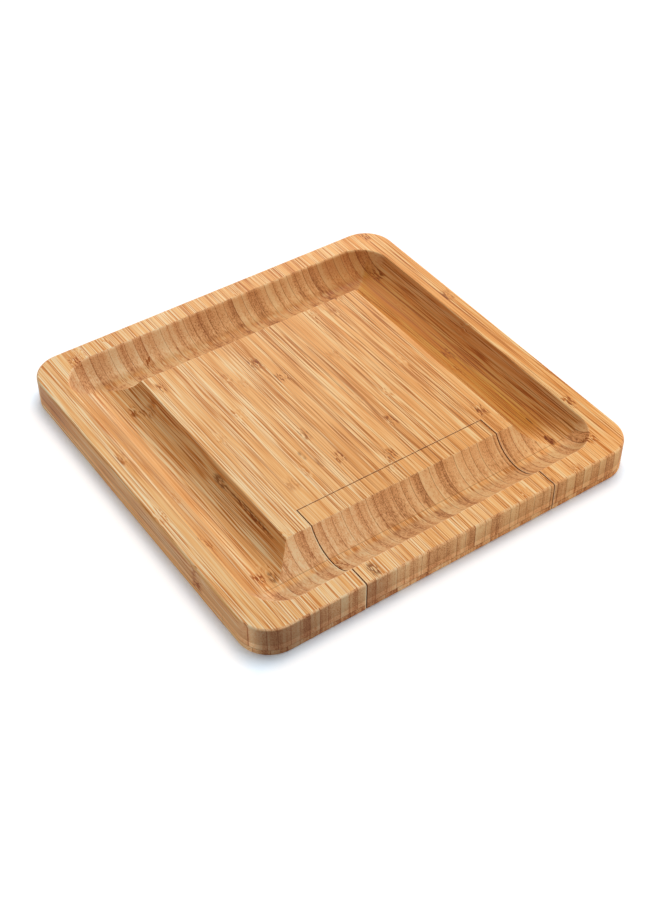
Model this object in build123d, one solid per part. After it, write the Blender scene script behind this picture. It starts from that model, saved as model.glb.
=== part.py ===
from build123d import *
from math import sqrt
import os

# A square bamboo cheese board with a cracker trough round a raised platform, and a hidden cutlery drawer
# whose front carries its own stretch of rim, trough and platform. Millimetres. The origin is the middle of
# the underside, +Z is up, +X runs to the right along the drawer's face and +Y runs along the grain, away
# from that face.

# Board
board_size = 330.0
board_height = 25.0
base_thickness = 5.0
corner_radius = 25.0
top_edge_radius = 1.8
bottom_edge_radius = 0.8

# Trough round the platform
rim_width = 17.5
trough_width = 47.5
trough_depth = 14.7
trough_edge_radius = 1.2
trough_turn_radius = 4.0

# Drawer front, placed from the platform's edges, and the seams round it
drawer_left_margin = 21.5
drawer_right_margin = 15.7
drawer_lip = 18.0
side_gap = 0.7
back_gap = 0.5
floor_gap = 0.3
roof_gap = 0.6
seam_edge_radius = 0.35

# Pocket under the platform
pocket_roof = 5.5
pocket_back_wall = 14.0

# Drawer tray; the hold is what stays in the pocket when the drawer is out
tray_floor_thickness = 3.5
tray_tongue = 12.0
tray_hold = 42.0

# Runners glued in the pocket's side walls
runner_height = 4.0
runner_seat = 3.0
runner_reach = 3.9
runner_end_gap = 4.0
runner_clearance = 0.4

# Stop dowels that end the drawer's travel
stop_diameter = 6.0
stop_seat = 3.5
stop_reach = 1.9
stop_inset = 12.0
stop_clearance = 0.4

# Magnets that hold the drawer shut
magnet_diameter = 5.0
magnet_thickness = 3.0
magnet_inset = 21.4
glue_gap = 0.05

# Cheese tools, which fill the length, the width and the height that the tray has for them
tool_side_wall = 5.4
tool_front_wall = 10.0
tool_back_wall = 10.5
tool_headroom = 0.5
handle_share = 0.6
handle_width = 17.0
handle_neck_width = 12.6
handle_edge_share = 0.33
handle_end_radius = 6.5
handle_butt_length = 18.0
ferrule_length = 9.0
ferrule_wall = 1.0
blade_thickness = 1.5
blade_neck = 6.0
blade_shoulder = 6.0
tang_length = 24.0
tang_clearance = 0.05
nest_clearance = 1.0
nest_corner_radius = 3.0
finger_groove_radius = 14.0
finger_groove_floor = 3.1

# Blades; each has its share of the tools' pitch as its width and of the blades' room as its length
blade_shares = {"spade": (0.76, 0.92), "cleaver": (0.74, 0.87), "slicer": (0.42, 1.0), "fork": (0.4, 0.88)}
blade_edge_thickness = 0.4
blade_corner_radius = 2.5
bevel_width = 2.6
spade_belly_share = 0.36
spade_heel_shares = (1.0, 0.25)
spade_tip_shares = (-0.7, 1.0)
cleaver_shoulder_share = 0.78
cleaver_shoulder_radius = 5.0
slicer_hole_diameter = 6.0
slicer_hole_pitch = 9.6
slicer_hole_start = 8.5
fork_slot_width = 5.0
fork_root_length = 14.0
fork_tip_width = 1.6

overrun = 10.0

# Places worked out from the sizes above
half = board_size / 2
platform_half = half - rim_width - trough_width
drawer_left = drawer_left_margin - platform_half
drawer_right = platform_half - drawer_right_margin
drawer_width = drawer_right - drawer_left
drawer_middle = (drawer_left + drawer_right) / 2
slot_left = drawer_left - side_gap
slot_right = drawer_right + side_gap
drawer_back = drawer_lip - platform_half
slot_back = drawer_back + back_gap
pocket_back = platform_half - pocket_back_wall
pocket_top = board_height - pocket_roof
tray_back = pocket_back - back_gap
tray_bottom = base_thickness + floor_gap
insert_bottom = tray_bottom + tray_floor_thickness
insert_top = pocket_top - roof_gap
insert_middle = (insert_bottom + insert_top) / 2
drawer_travel = tray_back - slot_back - tray_hold
tool_pitch = (drawer_width - 2 * tool_side_wall) / len(blade_shares)
blade_start = ferrule_length + blade_shoulder
tool_length = tray_back - drawer_back - tool_front_wall - tool_back_wall - 2 * nest_clearance
handle_length = (tool_length - blade_start) * handle_share
blade_room = tool_length - blade_start - handle_length
blade_sizes = {tool: (tool_pitch * width, blade_room * length) for tool, (width, length) in blade_shares.items()}


def block(x0, x1, y0, y1, z0, z1):
    """A box between two corners."""
    return Pos(x0, y0, z0) * Box(x1 - x0, y1 - y0, z1 - z0, align=(Align.MIN, Align.MIN, Align.MIN))


def edges_where(shape, place):
    """The edges of a shape whose ends and middle all satisfy place(x, y, z)."""
    def held(edge):
        return all(place(point.X, point.Y, point.Z) for point in (edge @ 0, edge @ 0.5, edge @ 1))
    return [edge for edge in shape.edges() if held(edge)]


def near(a, b):
    """Whether two coordinates are the same, well within the smallest gap."""
    return abs(a - b) < glue_gap / 10


# Trough: one cove section, run straight along each side and turned at each corner
cove_half = trough_width / 2
cove_radius = (cove_half ** 2 + trough_depth ** 2) / (2 * trough_depth)
cove_centre = board_height - trough_depth + cove_radius
ease_rise = cove_centre - board_height + trough_edge_radius
ease_reach = sqrt((cove_radius + trough_edge_radius) ** 2 - ease_rise ** 2)
turn_centre = platform_half + cove_half - trough_turn_radius


def cove_height(offset):
    """Height of the cove's surface at a distance from its middle."""
    return cove_centre - sqrt(cove_radius ** 2 - offset ** 2)


def trough_section(start):
    """The trough's section from an offset outwards to the rim; X is the offset and Y the height."""
    share = cove_radius / (cove_radius + trough_edge_radius)
    touch = (ease_reach * share, cove_centre - ease_rise * share)
    middle = (start + touch[0]) / 2
    roof = board_height + overrun
    outline = Line((start, roof), (start, cove_height(start)))
    outline += ThreePointArc((start, cove_height(start)), (middle, cove_height(middle)), touch)
    outline += TangentArc(touch, (ease_reach, board_height), tangent=(ease_rise, ease_reach))
    outline += Polyline((ease_reach, board_height), (ease_reach, roof), (start, roof))
    return make_face(outline)


def trough():
    """What the cutter takes away: four straight coves joined by quarter turns."""
    outwards = dict(x_dir=(0, -1, 0), z_dir=(-1, 0, 0))
    path = turn_centre + trough_turn_radius
    rim_side = trough_section(0)
    section = rim_side + mirror(rim_side, Plane.YZ)
    straight = extrude(Plane(origin=(0, -path, 0), **outwards) * section, amount=turn_centre, both=True)
    corner = Plane(origin=(turn_centre, -path, 0), **outwards) * trough_section(-trough_turn_radius)
    turn = revolve(corner, Axis((turn_centre, -turn_centre, 0), (0, 0, 1)), 90)
    cutter = straight + turn
    for quarter in range(1, 4):
        cutter += Rot(0, 0, 90 * quarter) * (straight + turn)
    return cutter


# Blanks: the two laminations before the drawer is cut out of them
def panel(bottom, top):
    """The board's rounded square between two heights."""
    return Pos(0, 0, bottom) * extrude(RectangleRounded(board_size, board_size, corner_radius), top - bottom)


def upper_blank(bottom):
    """The upper lamination with its rounded top edge and its trough."""
    blank = panel(bottom, board_height)
    blank = fillet(edges_where(blank, lambda x, y, z: near(z, board_height)), top_edge_radius)
    return blank - trough()


def lower_blank(bottom, top):
    """The lower lamination with its eased bottom edge."""
    blank = panel(bottom, top)
    return fillet(edges_where(blank, lambda x, y, z: near(z, bottom)), bottom_edge_radius)


def ease_upper_seams(shape, left, right, back, bottom):
    """Break the sharp edges that the drawer's seams leave on the top and the front of a piece."""
    def on_top(x, y, z):
        return near(z, board_height) and near(y, back) and left - glue_gap < x < right + glue_gap

    def on_side(x, y, z):
        return (near(x, left) or near(x, right)) and y < back + glue_gap

    seams = edges_where(shape, on_top)
    for edge in edges_where(shape, on_side):
        lies_under = near((edge @ 0.5).Z, bottom)
        lies_behind = near((edge @ 0.5).Y, back)
        if not lies_under and not lies_behind:
            seams.append(edge)
    return fillet(seams, seam_edge_radius)


def ease_lower_seams(shape, left, right):
    """Break the upright edges that the drawer's seams leave on the front of the lower lamination."""
    corners = edges_where(shape, lambda x, y, z: (near(x, left) or near(x, right)) and near(y, -half))
    return fillet(corners, seam_edge_radius)


# Board
def runner_place(side, clearance):
    """A runner's box, grown by a clearance for the groove that slides over it; side is -1 or 1."""
    wall = slot_left if side < 0 else slot_right
    inner = wall - side * (runner_reach + clearance)
    outer = wall + side * (overrun if clearance else runner_seat)
    low = insert_middle - runner_height / 2 - clearance
    high = insert_middle + runner_height / 2
    front = drawer_back if clearance else slot_back + runner_end_gap
    back = pocket_back + overrun if clearance else pocket_back - runner_end_gap
    return block(min(inner, outer), max(inner, outer), front, back, low, high)


def magnet_pair(face, radius):
    """Two discs behind a face that looks towards the front, at the tray's middle height."""
    disc = Rot(-90, 0, 0) * Cylinder(radius, magnet_thickness, align=(Align.CENTER, Align.CENTER, Align.MIN))
    reach = drawer_width / 2 - magnet_inset
    return [Pos(drawer_middle + side * reach, face, insert_middle) * disc for side in (-1, 1)]


def stop_pair(radius):
    """Two upright dowels, seated in the base panel under the walls between the outer nests."""
    pin = Cylinder(radius, stop_seat + stop_reach, align=(Align.CENTER, Align.CENTER, Align.MIN))
    front = slot_back + stop_inset
    return [Pos(drawer_middle + side * tool_pitch, front, base_thickness - stop_seat) * pin for side in (-1, 1)]


def board_top():
    """Upper lamination: rim, trough and platform, with the drawer's slot and pocket."""
    board = upper_blank(base_thickness)
    board -= block(slot_left, slot_right, -half - overrun, slot_back, 0, board_height + overrun)
    board -= block(slot_left, slot_right, slot_back - overrun, pocket_back, 0, pocket_top)
    board = ease_upper_seams(board, slot_left, slot_right, slot_back, base_thickness)
    for side in (-1, 1):
        board -= runner_place(side, 0)
    for hole in magnet_pair(pocket_back, magnet_diameter / 2 + glue_gap):
        board -= hole
    return board


def base_panel():
    """Lower lamination, notched for the drawer's front and bored for the stop dowels."""
    base = lower_blank(0, base_thickness)
    base -= block(slot_left, slot_right, -half - overrun, slot_back, -overrun, base_thickness + overrun)
    base = ease_lower_seams(base, slot_left, slot_right)
    for hole in stop_pair(stop_diameter / 2 + glue_gap):
        base -= hole
    return base


# Drawer
def drawer_front():
    """The moving stretch of the upper lamination, with a rabbet below for the tray floor's tongue."""
    front = upper_blank(tray_bottom)
    front &= block(drawer_left, drawer_right, -half - overrun, drawer_back, 0, board_height + overrun)
    front = ease_upper_seams(front, drawer_left, drawer_right, drawer_back, tray_bottom)
    return front - block(drawer_left - overrun, drawer_right + overrun, drawer_back - tray_tongue,
                         drawer_back + overrun, 0, insert_bottom)


def drawer_front_base():
    """The moving stretch of the lower lamination, held just clear of the table."""
    strip = lower_blank(floor_gap, tray_bottom)
    strip &= block(drawer_left, drawer_right, -half - overrun, drawer_back, -overrun, board_height)
    return ease_lower_seams(strip, drawer_left, drawer_right)


def drawer_floor():
    """Thin sheet under the tray: a tongue in front, and a blind groove for each stop dowel."""
    floor = block(drawer_left, drawer_right, drawer_back - tray_tongue, tray_back, tray_bottom, insert_bottom)
    radius = stop_diameter / 2 + stop_clearance
    front = slot_back + stop_inset
    top = base_thickness + stop_reach + stop_clearance
    for side in (-1, 1):
        x = drawer_middle + side * tool_pitch
        groove = block(x - radius, x + radius, front, front + drawer_travel, 0, top)
        for y in (front, front + drawer_travel):
            groove += Pos(x, y, 0) * Cylinder(radius, top, align=(Align.CENTER, Align.CENTER, Align.MIN))
        floor -= groove
    return floor


# Cheese tools, each drawn along +Y with its handle's front shoulder at the origin
shoulder_place = drawer_back + tool_front_wall + nest_clearance + handle_length
handle_thickness = insert_top - insert_bottom - tool_headroom
handle_edge_radius = handle_thickness * handle_edge_share
tool_height = insert_bottom + handle_thickness / 2
tenon_length = ferrule_length - ferrule_wall


def cross_section(inset):
    """The rounded section that the handle's shoulder and the ferrule share, taken in by an inset."""
    section = RectangleRounded(handle_neck_width - 2 * inset, handle_thickness - 2 * inset,
                               handle_edge_radius - inset)
    return Plane.XZ * section


def tang_slot(front, back):
    """A slot round the tang between two places along the tool."""
    width = blade_neck / 2 + tang_clearance
    thickness = blade_thickness / 2 + tang_clearance
    return block(-width, width, back, front, -thickness, thickness)


def handle():
    """Tapered handle with a rounded butt, a tenon for the ferrule and a slot for the tang."""
    neck = handle_neck_width / 2
    butt = handle_width / 2
    taper = handle_length - handle_butt_length
    outline = Polyline((-neck, 0), (-butt, -taper), (-butt, -handle_length), (butt, -handle_length),
                       (butt, -taper), (neck, 0), close=True)
    plan = make_face(outline)
    plan = fillet([v for v in plan.vertices() if near(v.Y, -handle_length)], handle_end_radius)
    solid = extrude(plan, handle_thickness / 2, both=True)
    rims = [edge for edge in solid.edges() if near(abs((edge @ 0.5).Z), handle_thickness / 2)
            and not near((edge @ 0.5).Y, 0)]
    solid = fillet(rims, handle_edge_radius)
    solid += extrude(cross_section(ferrule_wall + tang_clearance), -tenon_length)
    return solid - tang_slot(tenon_length + overrun, -tang_length)


def ferrule():
    """Steel cap over the handle's tenon, slotted for the blade."""
    solid = extrude(cross_section(0), -ferrule_length)
    rims = edges_where(solid, lambda x, y, z: near(y, ferrule_length))
    solid = fillet(rims, ferrule_wall / 2)
    solid -= extrude(cross_section(ferrule_wall), -tenon_length)
    return solid - tang_slot(ferrule_length + overrun, 0)


def blade_blank(plan):
    """Sheet of steel: the tang and neck joined to a blade's plan, which starts where the neck ends."""
    width = blade_neck / 2
    stem = Polyline((-width, -tang_length), (width, -tang_length), (width, blade_start + width),
                    (-width, blade_start + width), close=True)
    return extrude(Pos(0, blade_start) * plan + make_face(stem), blade_thickness / 2, both=True)


def round_corners(plan, height, radius):
    """Round the corners of a plan that lie at one height."""
    return fillet([corner for corner in plan.vertices() if near(corner.Y, height)], radius)


def grind(blade, place, outward):
    """Grind both faces of a blade down to a straight cutting edge that passes through a place."""
    face = blade_thickness / 2
    edge = blade_edge_thickness / 2
    wedge = make_face(Polyline((-bevel_width, face), (0, edge), (overrun, edge), (overrun, face + overrun),
                               (-bevel_width, face + overrun), close=True))
    across = Vector(*outward).cross(Vector(0, 0, 1))
    cut = extrude(Plane(origin=place, x_dir=outward, z_dir=across) * wedge, handle_length, both=True)
    return blade - cut - mirror(cut, Plane.XY)


def spade():
    """Drop-shaped blade with a point, ground along both sides."""
    width, length = blade_sizes["spade"]
    belly = (width / 2, length * spade_belly_share)
    side = Spline((blade_neck / 2, 0), belly, (0, length), tangents=(spade_heel_shares, spade_tip_shares))
    base = Line((-blade_neck / 2, 0), (blade_neck / 2, 0))
    blade = blade_blank(make_face(side + mirror(side, Plane.YZ) + base))
    depth = (blade_thickness - blade_edge_thickness) / 2
    for up in (Axis.Z, -Axis.Z):
        flat = blade.faces().sort_by(up)[-1]
        sides = [edge for edge in flat.edges() if abs((edge @ 0.5).X) > blade_neck / 2 + bevel_width]
        blade = chamfer(sides, bevel_width, depth, reference=flat)
    return blade


def cleaver():
    """Broad blade, ground across its straight end."""
    width, length = blade_sizes["cleaver"]
    side = width / 2
    neck = side * cleaver_shoulder_share
    plan = make_face(Polyline((-neck, 0), (neck, 0), (side, length), (-side, length), close=True))
    plan = round_corners(plan, 0, cleaver_shoulder_radius)
    plan = round_corners(plan, length, blade_corner_radius)
    return grind(blade_blank(plan), (0, blade_start + length, 0), (0, 1, 0))


def slicer():
    """Narrow blade with holes, so soft cheese lets go, ground along its straight edge."""
    width, length = blade_sizes["slicer"]
    side = width / 2
    nose = length - width
    straight = Polyline((-side, nose), (-side, 0), (side, 0), (side, length))
    plan = make_face(straight + TangentArc((side, length), (-side, nose), tangent=(-1, 0)))
    plan = round_corners(plan, 0, blade_corner_radius)
    place = slicer_hole_start
    while place < nose:
        plan -= Pos(0, place) * Circle(slicer_hole_diameter / 2)
        place += slicer_hole_pitch
    return grind(blade_blank(plan), (side, 0, 0), (1, 0, 0))


def fork():
    """Two flat tines that narrow to their tips."""
    width, length = blade_sizes["fork"]
    side = width / 2
    gap = fork_slot_width / 2
    tip = gap + fork_tip_width
    plan = make_face(Polyline((-side, 0), (side, 0), (side, fork_root_length), (tip, length), (-tip, length),
                              (-side, fork_root_length), close=True))
    plan = round_corners(plan, 0, blade_corner_radius)
    slot_end = Pos(0, fork_root_length + gap)
    slot = slot_end * Circle(gap)
    slot += slot_end * Rectangle(fork_slot_width, length, align=(Align.CENTER, Align.MIN))
    return blade_blank(plan - slot)


# Nests for the tools
def tool_place(name):
    """Where a tool's handle shoulder lies in the drawer."""
    step = list(blade_shares).index(name) - (len(blade_shares) - 1) / 2
    return Pos(drawer_middle + step * tool_pitch, shoulder_place, tool_height)


def nest(name):
    """The opening that holds one tool: a slot for its handle and one for its blade."""
    width, length = blade_sizes[name]
    depth = insert_top - insert_bottom + overrun
    low = (Align.CENTER, Align.MIN)
    handle_span = handle_length + nest_clearance + blade_start
    handle_slot = RectangleRounded(handle_width + 2 * nest_clearance, handle_span, nest_corner_radius, align=low)
    blade_span = length + nest_clearance + blade_shoulder / 2
    blade_slot = RectangleRounded(width + 2 * nest_clearance, blade_span, nest_corner_radius, align=low)
    plan = Pos(0, -handle_length - nest_clearance) * handle_slot
    plan += Pos(0, blade_start - blade_shoulder / 2) * blade_slot
    return tool_place(name) * extrude(plan, depth, both=True)


def finger_groove():
    """A groove across the handles, round at both ends, that lets fingers under them."""
    reach = tool_pitch * (len(blade_shares) - 1) / 2
    height = insert_bottom + finger_groove_floor + finger_groove_radius
    middle = Pos(drawer_middle, shoulder_place - handle_length / 2, height)
    groove = Rot(0, 90, 0) * Cylinder(finger_groove_radius, 2 * reach)
    for side in (-1, 1):
        groove += Pos(side * reach, 0, 0) * Sphere(finger_groove_radius)
    return middle * groove


def drawer_insert():
    """Bamboo panel with the tools' nests, the runner grooves and the magnets' holes."""
    insert = block(drawer_left, drawer_right, drawer_back, tray_back, insert_bottom, insert_top)
    for name in blade_shares:
        insert -= nest(name)
    insert -= finger_groove()
    for side in (-1, 1):
        insert -= runner_place(side, runner_clearance)
    for hole in magnet_pair(tray_back - magnet_thickness, magnet_diameter / 2 + glue_gap):
        insert -= hole
    return insert


# The assembly, one file for each node
parts = {
    "board_top": board_top(),
    "base_panel": base_panel(),
    "runner_left": runner_place(-1, 0),
    "runner_right": runner_place(1, 0),
    "stop_dowels": Compound(children=stop_pair(stop_diameter / 2)),
    "pocket_magnets": Compound(children=magnet_pair(pocket_back, magnet_diameter / 2)),
    "drawer_front": drawer_front(),
    "drawer_front_base": drawer_front_base(),
    "drawer_floor": drawer_floor(),
    "drawer_insert": drawer_insert(),
    "drawer_magnets": Compound(children=magnet_pair(tray_back - magnet_thickness, magnet_diameter / 2)),
}
blades = {"spade": spade(), "cleaver": cleaver(), "slicer": slicer(), "fork": fork()}
for tool, blade in blades.items():
    parts[tool + "_handle"] = tool_place(tool) * handle()
    parts[tool + "_ferrule"] = tool_place(tool) * ferrule()
    parts[tool + "_blade"] = tool_place(tool) * blade

os.makedirs("parts", exist_ok=True)
for node, shape in parts.items():
    export_step(shape, "parts/" + node + ".step")
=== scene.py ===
import bmesh
import bpy
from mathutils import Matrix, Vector


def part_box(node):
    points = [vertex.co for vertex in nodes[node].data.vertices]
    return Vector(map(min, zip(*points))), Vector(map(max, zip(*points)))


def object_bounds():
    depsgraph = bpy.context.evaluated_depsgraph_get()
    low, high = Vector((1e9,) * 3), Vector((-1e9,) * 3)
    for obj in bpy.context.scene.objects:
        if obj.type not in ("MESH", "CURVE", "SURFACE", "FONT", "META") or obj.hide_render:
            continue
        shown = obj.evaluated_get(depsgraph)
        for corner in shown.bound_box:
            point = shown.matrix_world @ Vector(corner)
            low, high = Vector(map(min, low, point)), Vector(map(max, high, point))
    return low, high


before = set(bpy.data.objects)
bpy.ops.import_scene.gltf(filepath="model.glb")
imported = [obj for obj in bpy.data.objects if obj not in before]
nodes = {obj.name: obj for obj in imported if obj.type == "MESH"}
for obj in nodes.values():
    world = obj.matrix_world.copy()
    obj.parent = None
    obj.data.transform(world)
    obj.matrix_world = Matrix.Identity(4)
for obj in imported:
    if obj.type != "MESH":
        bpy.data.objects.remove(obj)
cad_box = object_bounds()
scene = bpy.context.scene


# Camera: stands in front of the board and to its left and looks down on it, as in the photograph.
camera_place = Vector((-0.46831, -0.68281, 0.76061))
camera_target = Vector((-0.01026, -0.02318, 0.0))
camera_data = bpy.data.cameras.new("camera")
camera_data.sensor_width = 36.0
camera_data.lens = 59.16
camera = bpy.data.objects.new("camera", camera_data)
camera.location = camera_place
camera.rotation_euler = (camera_target - camera_place).to_track_quat("-Z", "Y").to_euler()
scene.collection.objects.link(camera)
scene.camera = camera


# Upper lamination of the board: bamboo strips set on edge and glued side by side into one panel,
# then routed with the cove of the trough, rounded, sanded and oiled. The strips run along Y, so the
# front face and the cove walls that look along Y show cut fibres, and all else shows long grain.
def colour(red, green, blue):
    """An sRGB colour, 0 to 255, as the linear colour that a socket takes."""
    def linear(value):
        value = value / 255
        return value / 12.92 if value <= 0.04045 else ((value + 0.055) / 1.055) ** 2.4
    return linear(red), linear(green), linear(blue), 1.0


def finish_on(name, metallic=0.0, roughness=0.5):
    """A new material, its node tree and its surface shader."""
    material = bpy.data.materials.new(name)
    material.use_nodes = True
    tree = material.node_tree
    shader = tree.nodes["Principled BSDF"]
    shader.inputs["Metallic"].default_value = metallic
    shader.inputs["Roughness"].default_value = roughness
    return material, tree, shader


def add(tree, kind, inputs, **settings):
    """A node with its settings, whose inputs are linked or set."""
    node = tree.nodes.new(kind)
    for setting, value in settings.items():
        setattr(node, setting, value)
    for socket, value in inputs.items():
        if isinstance(value, bpy.types.NodeSocket):
            tree.links.new(value, node.inputs[socket])
        else:
            node.inputs[socket].default_value = value
    return node


def math_of(tree, operation, first, second=0.0, third=0.0):
    """One step of arithmetic on numbers or sockets."""
    return add(tree, "ShaderNodeMath", {0: first, 1: second, 2: third}, operation=operation).outputs[0]


def product_of(tree, first, *factors):
    """Numbers or sockets, multiplied together."""
    for factor in factors:
        first = math_of(tree, "MULTIPLY", first, factor)
    return first


def swing_of(tree, noise, weight, base=0.0):
    """A base value that a noise moves up or down, by its distance from a half times a weight."""
    return math_of(tree, "MULTIPLY_ADD", math_of(tree, "SUBTRACT", noise, 0.5), weight, base)


def fade(tree, value, start, end):
    """A smooth step from 0 at start to 1 at end."""
    inputs = {"Value": value, "From Min": start, "From Max": end}
    return add(tree, "ShaderNodeMapRange", inputs, interpolation_type="SMOOTHSTEP").outputs["Result"]


def blend_of(tree, factor, first, second, blend_type="MIX"):
    """Two colours mixed by a factor."""
    inputs = {0: factor, 6: first, 7: second}
    return add(tree, "ShaderNodeMix", inputs, data_type="RGBA", blend_type=blend_type).outputs[2]


def tones_of(tree, value, stops):
    """A colour ramp through (place, colour) stops."""
    node = add(tree, "ShaderNodeValToRGB", {"Fac": value})
    node.color_ramp.elements[0].position, node.color_ramp.elements[0].color = stops[0]
    node.color_ramp.elements[1].position, node.color_ramp.elements[1].color = stops[-1]
    for place, tone in stops[1:-1]:
        node.color_ramp.elements.new(place).color = tone
    return node.outputs["Color"]


millimetres = 1000.0


def in_millimetres(tree):
    """Where a point of the piece is: across the grain, along it, and up."""
    place = add(tree, "ShaderNodeTexCoord", {}).outputs["Object"]
    place = add(tree, "ShaderNodeVectorMath", {0: place, 3: millimetres}, operation="SCALE").outputs[0]
    return add(tree, "ShaderNodeSeparateXYZ", {0: place}).outputs


def drawn_out(tree, across, along, up, sizes):
    """Coordinates for a pattern, with a size in millimetres for each direction."""
    vector = add(tree, "ShaderNodeCombineXYZ", {0: across, 1: along, 2: up}).outputs[0]
    scales = tuple(1 / size for size in sizes)
    return add(tree, "ShaderNodeVectorMath", {0: vector, 1: scales}, operation="MULTIPLY").outputs[0]


def grain_noise(tree, across, along, up, sizes, detail):
    """Noise drawn out along the grain, with a size in millimetres for each direction."""
    vector = drawn_out(tree, across, along, up, sizes)
    return add(tree, "ShaderNodeTexNoise", {"Vector": vector, "Scale": 1.0, "Detail": detail}).outputs[0]


def strips_of(tree, leant, strip_width, shift):
    """Strips of uneven width: each one's three chances, the distance to its joint in millimetres,
    whether it is turned round, as 1 or -1, and how near its skin side a point is."""
    strip_at = math_of(tree, "MULTIPLY_ADD", leant, 1 / strip_width, shift)
    row = {"W": strip_at, "Scale": 1.0, "Randomness": 0.7}
    strip = add(tree, "ShaderNodeTexVoronoi", row, voronoi_dimensions="1D")
    joint = add(tree, "ShaderNodeTexVoronoi", row, voronoi_dimensions="1D", feature="DISTANCE_TO_EDGE")
    joint = product_of(tree, joint.outputs["Distance"], strip_width)
    chances = add(tree, "ShaderNodeSeparateColor", {0: strip.outputs["Color"]}).outputs
    turned = math_of(tree, "MULTIPLY_ADD", math_of(tree, "GREATER_THAN", chances[1], 0.5), 2.0, -1.0)
    skin = product_of(tree, math_of(tree, "SUBTRACT", strip_at, strip.outputs["W"]), turned)
    return chances, joint, turned, fade(tree, skin, -0.5, 0.55)


def knuckle_of(tree, along, chance):
    """How far a point is from the nearest node of the culm that crosses its strip, in millimetres."""
    spacing = 260.0
    knuckle = math_of(tree, "MULTIPLY_ADD", chance, 7.0, math_of(tree, "DIVIDE", along, spacing))
    knuckle = math_of(tree, "SUBTRACT", math_of(tree, "FRACT", knuckle), 0.5)
    return product_of(tree, math_of(tree, "ABSOLUTE", knuckle), spacing)


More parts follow.
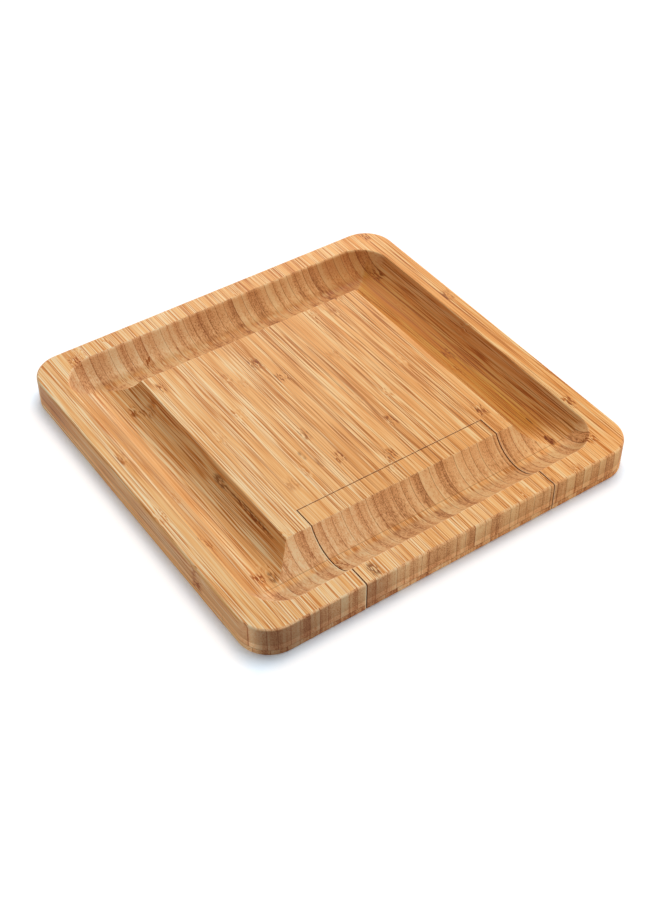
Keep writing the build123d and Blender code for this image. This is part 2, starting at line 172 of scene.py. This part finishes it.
def laminate(name, tones, end_tones, strip_width, shift, touches=None):
    """Bamboo strips glued side by side, with their fibres, bundles, joints and node marks."""
    material, tree, shader = finish_on(name)
    shader.inputs["Specular IOR Level"].default_value = 0.1
    across, along, up = in_millimetres(tree)
    facing = add(tree, "ShaderNodeTexCoord", {}).outputs["Normal"]
    facing = add(tree, "ShaderNodeSeparateXYZ", {0: facing}).outputs
    cut = fade(tree, math_of(tree, "ABSOLUTE", facing[1]), 0.0, 0.18)

    # The strips lean by half a degree, as the panel was trimmed a little off the grain
    leant = math_of(tree, "MULTIPLY_ADD", along, 0.0075, across)
    chances, joint, turned, skin = strips_of(tree, leant, strip_width, shift)
    knuckle = knuckle_of(tree, along, chances[2])
    near_knuckle = fade(tree, knuckle, 11.0, 1.0)

    # Fibres wander a little from the joints' straight lines, and more round a knuckle
    drift = swing_of(tree, grain_noise(tree, across, along, up, (30.0, 170.0, 30.0), 1.0), 1.2)
    swirl = swing_of(tree, grain_noise(tree, across, along, up, (2.5, 6.0, 2.5), 0.0), near_knuckle)
    drift = math_of(tree, "MULTIPLY_ADD", swirl, 2.4, drift)
    fibres = math_of(tree, "ADD", leant, drift), along, math_of(tree, "ADD", up, drift)
    hair = grain_noise(tree, *fibres, (0.65, 50.0, 0.65), 1.0)
    fibre = grain_noise(tree, *fibres, (1.1, 160.0, 1.1), 2.0)
    streak = grain_noise(tree, *fibres, (3.4, 400.0, 3.4), 1.0)
    lively = fade(tree, grain_noise(tree, *fibres, (5.0, 150.0, 5.0), 0.0), 0.35, 0.65)
    band = grain_noise(tree, across, along, up, (1.7, 300.0, 45.0), 1.0)

    # Vessel bundles: threads along the grain, denser towards the culm's skin
    thread = drawn_out(tree, *fibres, (1.3, 220.0, 1.3))
    bundle = add(tree, "ShaderNodeTexVoronoi", {"Vector": thread, "Scale": 1.0}).outputs["Distance"]
    bundle = fade(tree, bundle, 0.5, 0.15)

    # Long grain: a tone for each strip, drawn over with lines that are livelier in some places
    lines = swing_of(tree, fibre, 1.2, swing_of(tree, hair, 4.0))
    liveliness = math_of(tree, "MULTIPLY_ADD", lively, 1.1, 0.3)
    tone = swing_of(tree, streak, 0.25, math_of(tree, "MULTIPLY_ADD", chances[0], 0.14, 0.48))
    tone = math_of(tree, "MULTIPLY_ADD", lines, liveliness, tone)
    tone = math_of(tree, "MULTIPLY_ADD", skin, -0.1, tone)
    dark_thread = product_of(tree, bundle, math_of(tree, "MULTIPLY_ADD", skin, 0.4, 0.12))
    long_grain = blend_of(tree, dark_thread, tones_of(tree, tone, tones), tones[0][1])
    pale_edge = math_of(tree, "MULTIPLY_ADD", turned, 0.13, 0.13)
    pale_edge = product_of(tree, fade(tree, joint, 0.95, 0.4), pale_edge)
    long_grain = blend_of(tree, pale_edge, long_grain, tones[-2][1])

    # Cut fibres: a stronger tone for each strip, darker at its skin side, and speckled
    cut_tone = math_of(tree, "MULTIPLY_ADD", chances[0], 0.46, 0.42)
    cut_tone = math_of(tree, "MULTIPLY_ADD", skin, -0.28, cut_tone)
    for figure, weight in ((band, 0.75), (streak, 0.3), (fibre, 0.35), (hair, 1.2), (bundle, -0.22)):
        cut_tone = swing_of(tree, figure, weight, cut_tone)
    wood = blend_of(tree, cut, long_grain, tones_of(tree, cut_tone, end_tones))

    # Joints between the strips, and the knuckles' dark flecks in a paler patch
    joint = product_of(tree, fade(tree, joint, 0.35, 0.08), math_of(tree, "MULTIPLY_ADD", cut, 0.25, 0.4))
    wood = blend_of(tree, joint, wood, colour(148, 96, 40), "MULTIPLY")
    wood = blend_of(tree, product_of(tree, near_knuckle, 0.15), wood, tones[1][1])
    fleck = fade(tree, grain_noise(tree, *fibres, (1.1, 14.0, 1.1), 1.0), 0.48, 0.58)
    fleck = product_of(tree, fleck, fade(tree, knuckle, 8.5, 3.0), fade(tree, chances[0], 0.7, 0.2))
    wood = blend_of(tree, fleck, wood, colour(172, 134, 84), "MULTIPLY")
    if touches:
        wood = touches(tree, wood, across, along, up)
    tree.links.new(wood, shader.inputs["Base Color"])

    sheen = math_of(tree, "MULTIPLY_ADD", fibre, 0.2, math_of(tree, "MULTIPLY_ADD", cut, 0.12, 0.4))
    tree.links.new(sheen, shader.inputs["Roughness"])
    height = math_of(tree, "MULTIPLY_ADD", bundle, -0.5, math_of(tree, "ADD", fibre, hair))
    height = math_of(tree, "MULTIPLY_ADD", joint, -0.1, height)
    bump = add(tree, "ShaderNodeBump", {"Strength": 0.3, "Distance": 0.00008, "Height": height})
    tree.links.new(bump.outputs[0], shader.inputs["Normal"])
    return material


def dress(material, *names):
    """Give CAD nodes a material."""
    for name in names:
        nodes[name].material_slots[0].material = material


# The board's and the drawer front's own corners, in millimetres
board_low, board_high = (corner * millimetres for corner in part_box("board_top"))
drawer_low, drawer_high = (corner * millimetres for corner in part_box("drawer_front"))


def paled_and_warmed(tree, wood, across, along, up):
    """Wood that is warmer to the right, and paler to the left and on the left, front and back rims."""
    warm = fade(tree, across, board_low.x, board_high.x)
    wood = blend_of(tree, warm, wood, colour(240, 226, 206), "MULTIPLY")
    rim = math_of(tree, "MAXIMUM", product_of(tree, across, -1.0), math_of(tree, "ABSOLUTE", along))
    on_top = fade(tree, up, board_high.z - 1.5, board_high.z - 0.2)
    rim = product_of(tree, fade(tree, rim, 120.0, 155.0), math_of(tree, "MULTIPLY_ADD", on_top, 0.25, 0.3))
    pale = math_of(tree, "MULTIPLY_ADD", fade(tree, across, 20.0, -80.0), 0.6, rim)
    return blend_of(tree, pale, wood, colour(230, 214, 219), "SOFT_LIGHT")


def trough_shaded(tree, wood, across, along, up):
    """Painted shade in the trough: most in the right one, with the wood's deeper tone there, then the back
    floor and left outer wall.
    """
    leftwards = product_of(tree, across, -1.0)
    frontwards = product_of(tree, along, -1.0)
    right, left, back, front = (
        fade(tree, math_of(tree, "SUBTRACT", outwards, math_of(tree, "ABSOLUTE", beside)), -4.0, 4.0)
        for outwards, beside in ((across, along), (leftwards, along), (along, across), (frontwards, across)))
    trough_floor = 10.3
    hollow = product_of(tree, fade(tree, up, board_high.z - 0.1, board_high.z - 2.0),
                        fade(tree, up, trough_floor - 0.7, trough_floor - 0.3))
    # The right trough's tints: partly the wood's own deeper tone there, partly painted shade.
    right_trough_tone_and_shade = tones_of(tree, math_of(tree, "MULTIPLY_ADD", across, 0.025, -2.6),
                         [(0.15, colour(210, 190, 156)), (0.5, colour(203, 176, 92)),
                          (0.8, colour(217, 192, 156)), (1.0, colour(242, 226, 214))])
    # Painted shade: each tint darkens part of the trough's hollow where its walls shade it.
    for side, where, how_much, tint in (
            (right, fade(tree, across, 99.0, 102.0), fade(tree, along, -122.0, -92.0), right_trough_tone_and_shade),
            (left, fade(tree, leftwards, 130.0, 136.0), 1.0, colour(222, 211, 203)),
            (left, fade(tree, leftwards, 136.0, 128.0), 1.0, colour(248, 241, 230)),
            (left, fade(tree, leftwards, 110.0, 103.0), 1.0, colour(252, 242, 226)),
            (front, fade(tree, frontwards, 122.0, 130.0), 1.0, colour(229, 226, 220)),
            (back, fade(tree, along, 107.0, 112.0), fade(tree, along, 134.0, 126.0), colour(228, 217, 200)),
            (back, fade(tree, along, 126.0, 146.0), 0.75, colour(228, 217, 204)),
            (back, fade(tree, across, 72.0, 112.0), 1.0, colour(226, 204, 180))):
        wood = blend_of(tree, product_of(tree, side, where, how_much, hollow), wood, tint, "MULTIPLY")
    return wood


def shaded_faces(tree, wood, across, along, up):
    """Painted shade on the outer faces: darker near the table, the front one also at its left end and by the
    drawer."""
    outer = math_of(tree, "MAXIMUM", math_of(tree, "ABSOLUTE", across), math_of(tree, "ABSOLUTE", along))
    outer = fade(tree, outer, board_high.x - 3.0, board_high.x - 1.0)
    outer = product_of(tree, outer, fade(tree, up, 22.0, 7.0))
    wood = blend_of(tree, outer, wood, colour(238, 229, 222), "MULTIPLY")
    face = fade(tree, up, board_high.z - 0.2, board_high.z - 1.2)
    face = product_of(tree, fade(tree, along, -150.0, -160.0), face)
    left_end = product_of(tree, fade(tree, across, -30.0, -160.0), face)
    wood = blend_of(tree, left_end, wood, colour(176, 168, 168), "MULTIPLY")
    drawer_end = fade(tree, across, drawer_low.x - 0.7, drawer_low.x - 0.1)
    drawer_end = product_of(tree, drawer_end, fade(tree, across, -44.0, -76.0), face)
    return blend_of(tree, drawer_end, wood, colour(216, 202, 196), "MULTIPLY")


def scarred(tree, wood, across, along, up):
    """Node scars that the sanding has left darkest."""
    strokes = fade(tree, grain_noise(tree, across, along, up, (0.9, 5.0, 0.9), 2.0), 0.43, 0.55)
    strokes = math_of(tree, "MULTIPLY_ADD", strokes, 0.8, 0.2)
    for x, y, half_width, half_length, depth in (
            (123.9, -116.5, 3.2, 7.5, 2.6), (125.0, -96.0, 0.9, 20.0, 0.9),
            (-104.4, -22.0, 3.0, 13.0, 0.8), (-104.0, -62.0, 1.7, 40.0, 0.8),
            (-67.3, -156.0, 5.5, 9.0, 0.9), (-45.2, -38.0, 2.6, 7.0, 0.55),
            (-39.2, -51.0, 2.6, 7.0, 0.55), (-120.5, -113.0, 4.4, 8.0, 0.8)):
        place = drawn_out(tree, across, along, 0.0, (half_width, half_length, 1.0))
        middle = (x / half_width, y / half_length, 0.0)
        apart = add(tree, "ShaderNodeVectorMath", {0: place, 1: middle}, operation="DISTANCE").outputs
        scar = product_of(tree, fade(tree, apart["Value"], 1.0, 0.4), strokes, depth)
        wood = blend_of(tree, scar, wood, colour(144, 100, 52), "MULTIPLY")
    return wood


def seamed(tree, wood, across, along):
    """Painted highlights on the edges on the board's side of the drawer's seams, and painted shade, browner,
    on the faces in the seams.
    """
    side_gap = 0.7
    back_gap = 0.5
    left_seam = drawer_low.x - side_gap / 2
    right_seam = drawer_high.x + side_gap / 2
    back_seam = drawer_high.y + back_gap / 2
    beside = fade(tree, along, drawer_high.y + 1.0, drawer_high.y)
    behind = product_of(tree, fade(tree, across, drawer_low.x - 1.1, drawer_low.x - 0.6),
                        fade(tree, across, drawer_high.x + 1.1, drawer_high.x + 0.6))
    for beyond, half_gap, paleness, where in (
            (math_of(tree, "SUBTRACT", left_seam, across), side_gap / 2, 0.7, beside),
            (math_of(tree, "SUBTRACT", across, right_seam), side_gap / 2, 0.35, beside),
            (math_of(tree, "SUBTRACT", along, back_seam), back_gap / 2, 0.1, behind)):
        # Painted highlight: a pale strip on the eased edge beside the seam.
        painted_edge_highlight = fade(tree, beyond, half_gap + 0.9, half_gap + 0.4)
        painted_edge_highlight = product_of(tree, painted_edge_highlight, where, math_of(tree, "GREATER_THAN", beyond, 0.0), paleness)
        wood = blend_of(tree, painted_edge_highlight, wood, colour(252, 228, 188))
        # Painted shade: the faces inside the seam's gap made browner.
        painted_seam_shade = fade(tree, math_of(tree, "ABSOLUTE", beyond), half_gap + 0.06, half_gap + 0.02)
        wood = blend_of(tree, product_of(tree, painted_seam_shade, where, 0.9), wood, colour(172, 134, 98), "MULTIPLY")
    return wood


def lined(tree, wood, along, up):
    """The router's last line along the front trough's floor, and the glue line of the laminations."""
    router_line = -121.2
    lowest = math_of(tree, "ABSOLUTE", math_of(tree, "SUBTRACT", along, router_line))
    lowest = product_of(tree, fade(tree, lowest, 0.45, 0.15), fade(tree, up, 12.0, 11.5), 0.45)
    wood = blend_of(tree, lowest, wood, colour(150, 98, 54))
    glue = product_of(tree, fade(tree, up, board_low.z - 0.3, board_low.z - 0.1),
                      fade(tree, up, board_low.z + 0.4, board_low.z + 0.2), 0.5)
    return blend_of(tree, glue, wood, colour(90, 54, 30))


def board_touches(tree, wood, across, along, up):
    """What sanding and the drawer's cut have done to the board's wood, with its tones and painted shade and
    highlights.
    """
    wood = paled_and_warmed(tree, wood, across, along, up)
    wood = trough_shaded(tree, wood, across, along, up)
    wood = shaded_faces(tree, wood, across, along, up)
    wood = scarred(tree, wood, across, along, up)
    wood = seamed(tree, wood, across, along)
    return lined(tree, wood, along, up)


board_tones = [(0.0, colour(190, 119, 55)), (0.25, colour(227, 157, 86)), (0.5, colour(247, 184, 115)),
               (0.75, colour(253, 205, 144)), (1.0, colour(255, 222, 170))]
board_end_tones = [(0.0, colour(168, 111, 68)), (0.35, colour(219, 160, 106)), (0.6, colour(244, 187, 130)),
                   (1.0, colour(255, 217, 164))]
board_bamboo = laminate("bamboo_board_top", board_tones, board_end_tones, strip_width=7.6, shift=0.3,
                        touches=board_touches)
dress(board_bamboo, "board_top")


# Lower lamination: a thin panel of strips laid flat, glued under the upper one, so its joints don't
# line up with those above. It closes the pocket and is the face that the board rests on.
base_end_tones = [(0.0, colour(130, 80, 42)), (0.35, colour(204, 145, 94)), (0.6, colour(240, 182, 122)),
                  (1.0, colour(255, 218, 164))]
base_bamboo = laminate("bamboo_base_panel", board_tones, base_end_tones, strip_width=9.0, shift=7.9,
                       touches=board_touches)
dress(base_bamboo, "base_panel")


# Drawer front: cut out of the same glued-up blank as the board, so strips and joints run on across
# the seams when the drawer is shut.
dress(board_bamboo, "drawer_front")
dress(base_bamboo, "drawer_front_base")


# Tray: a thin bamboo sheet under a thicker panel with the nests milled through it, left unoiled and
# so paler than the board, and the two strips in the pocket's walls that it hangs on.
tray_tones = [(0.0, colour(184, 134, 82)), (0.25, colour(210, 160, 104)), (0.5, colour(228, 182, 128)),
              (0.75, colour(238, 200, 150)), (1.0, colour(248, 222, 182))]
tray_end_tones = [(0.0, colour(140, 98, 60)), (0.35, colour(184, 138, 92)), (0.6, colour(210, 166, 118)),
                  (1.0, colour(236, 200, 156))]
tray_bamboo = laminate("bamboo_insert", tray_tones, tray_end_tones, strip_width=6.4, shift=2.6)
sheet_bamboo = laminate("bamboo_sheet", tray_tones, tray_end_tones, strip_width=18.0, shift=5.2)
dress(tray_bamboo, "drawer_insert", "runner_left", "runner_right")
dress(sheet_bamboo, "drawer_floor")


# Stop dowels: turned beech, with the short dark flecks that beech shows, upright in the base panel.
def beech():
    """Turned beech whose grain runs up the dowel."""
    material, tree, shader = finish_on("beech", roughness=0.6)
    across, along, up = in_millimetres(tree)
    grain = grain_noise(tree, across, along, up, (0.5, 0.5, 14.0), 2.0)
    flecks = grain_noise(tree, across, along, up, (0.25, 0.25, 1.6), 0.0)
    wood = tones_of(tree, grain, [(0.3, colour(190, 146, 104)), (0.7, colour(222, 184, 142))])
    wood = blend_of(tree, fade(tree, flecks, 0.62, 0.7), wood, colour(140, 92, 56))
    tree.links.new(wood, shader.inputs["Base Color"])
    return material


dress(beech(), "stop_dowels")


# Magnets: nickel-plated discs pressed and glued into blind holes, two in the board, two in the tray.
def nickel():
    """Bright plating with faint clouding."""
    material, tree, shader = finish_on("nickel", metallic=1.0)
    place = add(tree, "ShaderNodeTexCoord", {}).outputs["Object"]
    cloud = add(tree, "ShaderNodeTexNoise", {"Vector": place, "Scale": 600.0, "Detail": 3.0}).outputs[0]
    tree.links.new(tones_of(tree, cloud, [(0.3, colour(196, 193, 184)), (0.7, colour(222, 219, 210))]),
                   shader.inputs["Base Color"])
    tree.links.new(math_of(tree, "MULTIPLY_ADD", cloud, 0.2, 0.12), shader.inputs["Roughness"])
    return material


dress(nickel(), "pocket_magnets", "drawer_magnets")


# Cheese tools: handles of oiled, steam-darkened bamboo, one piece each with the grain along them.
tool_names = ("spade", "cleaver", "slicer", "fork")
handle_tones = [(0.0, colour(96, 56, 26)), (0.25, colour(132, 82, 42)), (0.5, colour(160, 104, 56)),
                (0.75, colour(184, 126, 74)), (1.0, colour(208, 154, 100))]
handle_end_tones = [(0.0, colour(84, 48, 24)), (0.35, colour(120, 74, 40)), (0.6, colour(148, 98, 56)),
                    (1.0, colour(184, 134, 86))]
handle_bamboo = laminate("bamboo_handle", handle_tones, handle_end_tones, strip_width=30.0, shift=0.6)
dress(handle_bamboo, *(tool + "_handle" for tool in tool_names))


# Ferrules: short caps of polished stainless steel over the handles' tenons.
def polished_steel():
    """Stainless steel with fine buffing marks round the ferrule."""
    material, tree, shader = finish_on("steel_polished", metallic=1.0)
    across, along, up = in_millimetres(tree)
    marks = grain_noise(tree, across, along, up, (9.0, 0.12, 9.0), 3.0)
    tree.links.new(tones_of(tree, marks, [(0.3, colour(166, 167, 171)), (0.7, colour(192, 193, 197))]),
                   shader.inputs["Base Color"])
    tree.links.new(math_of(tree, "MULTIPLY_ADD", marks, 0.16, 0.08), shader.inputs["Roughness"])
    return material


dress(polished_steel(), *(tool + "_ferrule" for tool in tool_names))


# Blades: stainless sheet, brushed along the blade and ground to an edge.
def brushed_steel():
    """Stainless steel with long brush lines."""
    material, tree, shader = finish_on("steel_brushed", metallic=1.0)
    across, along, up = in_millimetres(tree)
    lines = grain_noise(tree, across, along, up, (0.12, 22.0, 0.12), 3.0)
    tree.links.new(tones_of(tree, lines, [(0.3, colour(152, 154, 158)), (0.7, colour(188, 189, 193))]),
                   shader.inputs["Base Color"])
    tree.links.new(math_of(tree, "MULTIPLY_ADD", lines, 0.3, 0.24), shader.inputs["Roughness"])
    bump = add(tree, "ShaderNodeBump", {"Strength": 0.15, "Distance": 0.00003, "Height": lines})
    tree.links.new(bump.outputs[0], shader.inputs["Normal"])
    return material


dress(brushed_steel(), *(tool + "_blade" for tool in tool_names))


# Floor: a wide pale sheet that the board stands on, white where the camera sees it, with the board's
# soft shadow close round its edges, painted faintly cool by a bluer floor colour there.
floor_half = 6.0
board_edge = cad_box[1].x
shadow_width = 0.014
white = (1.0, 1.0, 1.0, 1.0)


def seen_rays(tree):
    """1 for rays that the camera sends, also by way of a mirror or glass, and 0 for all others."""
    rays = add(tree, "ShaderNodeLightPath", {}).outputs
    mirrored = math_of(tree, "MAXIMUM", rays["Is Glossy Ray"], rays["Is Transmission Ray"])
    return math_of(tree, "MAXIMUM", rays["Is Camera Ray"], mirrored)


def white_floor():
    """White to the camera, and to the light that falls on the board a pale grey that also glows a little, as
    fill.
    """
    material = bpy.data.materials.new("floor")
    material.use_nodes = True
    tree = material.node_tree
    tree.nodes.clear()
    grey = add(tree, "ShaderNodeBsdfDiffuse", {"Color": (0.7, 0.7, 0.7, 1.0)}).outputs[0]
    glow = add(tree, "ShaderNodeEmission", {"Color": white, "Strength": 0.24}).outputs[0]
    pale = add(tree, "ShaderNodeAddShader", {0: grey, 1: glow}).outputs[0]
    place = add(tree, "ShaderNodeTexCoord", {}).outputs["Object"]
    place = add(tree, "ShaderNodeSeparateXYZ", {0: place}).outputs
    apart = math_of(tree, "ABSOLUTE", place[0])
    apart = math_of(tree, "MAXIMUM", apart, math_of(tree, "ABSOLUTE", place[1]))
    # Painted shadow colour: within 14 mm of the board the floor is bluer, so its shadow there reads cool.
    in_shadow = fade(tree, apart, board_edge + shadow_width, board_edge)
    tint = blend_of(tree, in_shadow, (1.2, 1.2, 1.2, 1.0), (1.05, 1.19, 1.32, 1.0))
    lit = add(tree, "ShaderNodeBsdfDiffuse", {"Color": tint}).outputs[0]
    backdrop = add(tree, "ShaderNodeEmission", {"Color": white, "Strength": 1.0}).outputs[0]
    far = fade(tree, apart, 0.6, 1.2)
    shown = add(tree, "ShaderNodeMixShader", {0: far, 1: lit, 2: backdrop}).outputs[0]
    surface = add(tree, "ShaderNodeMixShader", {0: seen_rays(tree), 1: pale, 2: shown}).outputs[0]
    add(tree, "ShaderNodeOutputMaterial", {"Surface": surface})
    return material


floor_mesh = bpy.data.meshes.new("floor")
floor_form = bmesh.new()
bmesh.ops.create_grid(floor_form, x_segments=1, y_segments=1, size=floor_half)
floor_form.to_mesh(floor_mesh)
floor_form.free()
floor_mesh.materials.append(white_floor())
floor = bpy.data.objects.new("floor", floor_mesh)
scene.collection.objects.link(floor)


# Light: two softboxes to the right of the board, one in front of it and one behind, and an even pale
# surround. A third, high up, lights the floor alone and gives the narrow shadow to the left.
def softbox(name, place, size, power, floor_state):
    """A square lamp that looks at the board, and whether it lights all but the floor or the floor alone."""
    lamp = bpy.data.lights.new(name, "AREA")
    lamp.size = size
    lamp.energy = power
    box = bpy.data.objects.new(name, lamp)
    box.location = place
    box.rotation_euler = (-Vector(place)).to_track_quat("-Z", "Y").to_euler()
    scene.collection.objects.link(box)
    receivers = bpy.data.collections.new(name + "_receivers")
    receivers.objects.link(floor)
    receivers.collection_objects[0].light_linking.link_state = floor_state
    box.light_linking.receiver_collection = receivers


softbox("softbox_right", (0.73, -0.42, 0.71), 0.5, 5.5, "EXCLUDE")
softbox("softbox_back", (0.563, 0.975, 0.65), 0.5, 8.4, "EXCLUDE")
softbox("softbox_floor", (2.88, 2.16, 11.52), 6.4, 890.0, "INCLUDE")

world = bpy.data.worlds.new("world")
scene.world = world
world.use_nodes = True
sky = world.node_tree
sky.nodes.clear()
surround = add(sky, "ShaderNodeBackground", {"Color": white, "Strength": 0.385}).outputs[0]
backdrop = add(sky, "ShaderNodeBackground", {"Color": white, "Strength": 1.0}).outputs[0]
all_round = add(sky, "ShaderNodeMixShader", {0: seen_rays(sky), 1: surround, 2: backdrop}).outputs[0]
add(sky, "ShaderNodeOutputWorld", {"Surface": all_round})

scene.view_settings.view_transform = "Standard"
